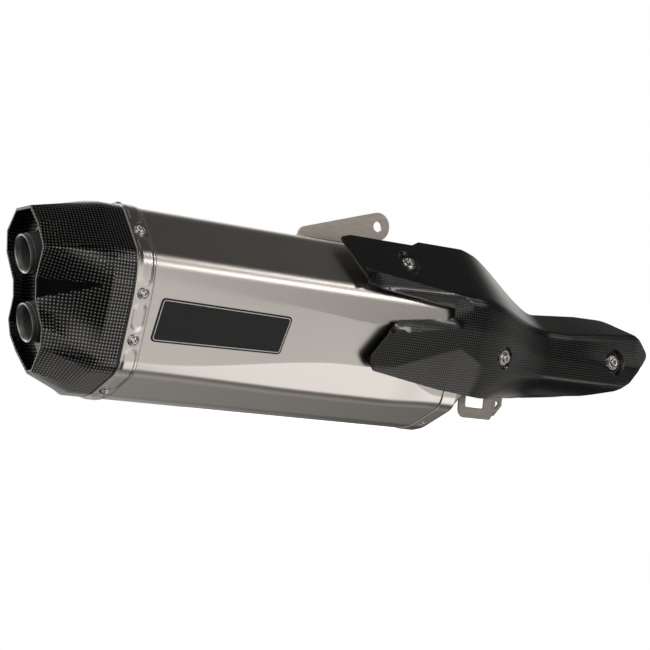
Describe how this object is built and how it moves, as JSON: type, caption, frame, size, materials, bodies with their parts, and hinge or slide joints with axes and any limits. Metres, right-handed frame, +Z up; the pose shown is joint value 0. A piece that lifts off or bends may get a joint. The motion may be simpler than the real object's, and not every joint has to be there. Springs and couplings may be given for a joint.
{
  "type": "motorcycle slip-on exhaust",
  "caption": "Slip-on motorcycle exhaust: titanium sleeve muffler, carbon end cap with twin outlets, link pipe with slip joint, carbon heat shield and hanger bracket.",
  "frame": {"origin": "centre of the slip joint's mouth, where the header pipe enters", "axes": "+X along the muffler towards the engine, +Y inboard towards the motorcycle, +Z up"},
  "size_m": [0.7767, 0.1386, 0.2317],
  "materials": {
    "titanium_brushed": "satin titanium sheet, brushed round the section",
    "titanium_band": "satin titanium strap",
    "titanium_raw": "plain titanium",
    "titanium_heated": "titanium with straw heat colour",
    "titanium_bracket": "satin titanium, warm taupe",
    "weld_bead": "weld bead with heat colour",
    "stainless": "stainless steel, half polished",
    "carbon_gloss": "clear-coated carbon fibre, plain weave",
    "outlet_dark": "anthracite satin coating on turned steel",
    "glass_packing": "glass fibre mat",
    "insulator": "pressed mineral washer",
    "badge_black": "black enamel with satin stripes"
  },
  "bodies": {
    "root": {"outer_sleeve": "titanium_brushed", "rear_band": "titanium_band", "front_band": "titanium_band", "rear_cups": "stainless", "rear_screws": "stainless", "rear_inserts": "stainless", "front_rivets": "stainless", "end_cap": "carbon_gloss", "outlet_tube_upper": "outlet_dark", "outlet_tube_lower": "outlet_dark", "rear_baffle": "titanium_raw", "front_baffle": "titanium_raw", "core_tube_upper": "titanium_raw", "core_tube_lower": "titanium_raw", "packing_mat": "glass_packing", "inlet_splitter": "titanium_raw", "front_cap": "titanium_raw", "pipe_collar": "titanium_raw", "link_pipe_rear": "titanium_heated", "link_pipe_front": "titanium_heated", "pipe_weld": "weld_bead", "slip_socket": "titanium_heated", "clamp_band": "stainless", "clamp_blocks": "stainless", "clamp_bolt": "stainless", "clamp_nut": "stainless", "heat_shield": "carbon_gloss", "shield_posts": "titanium_raw", "shield_spacers": "insulator", "shield_washers": "stainless", "shield_screws": "stainless", "hanger_foot": "titanium_bracket", "hanger_bracket": "titanium_bracket", "lower_bracket": "titanium_bracket", "badge_plate": "badge_black"}
  },
  "joints": []
}
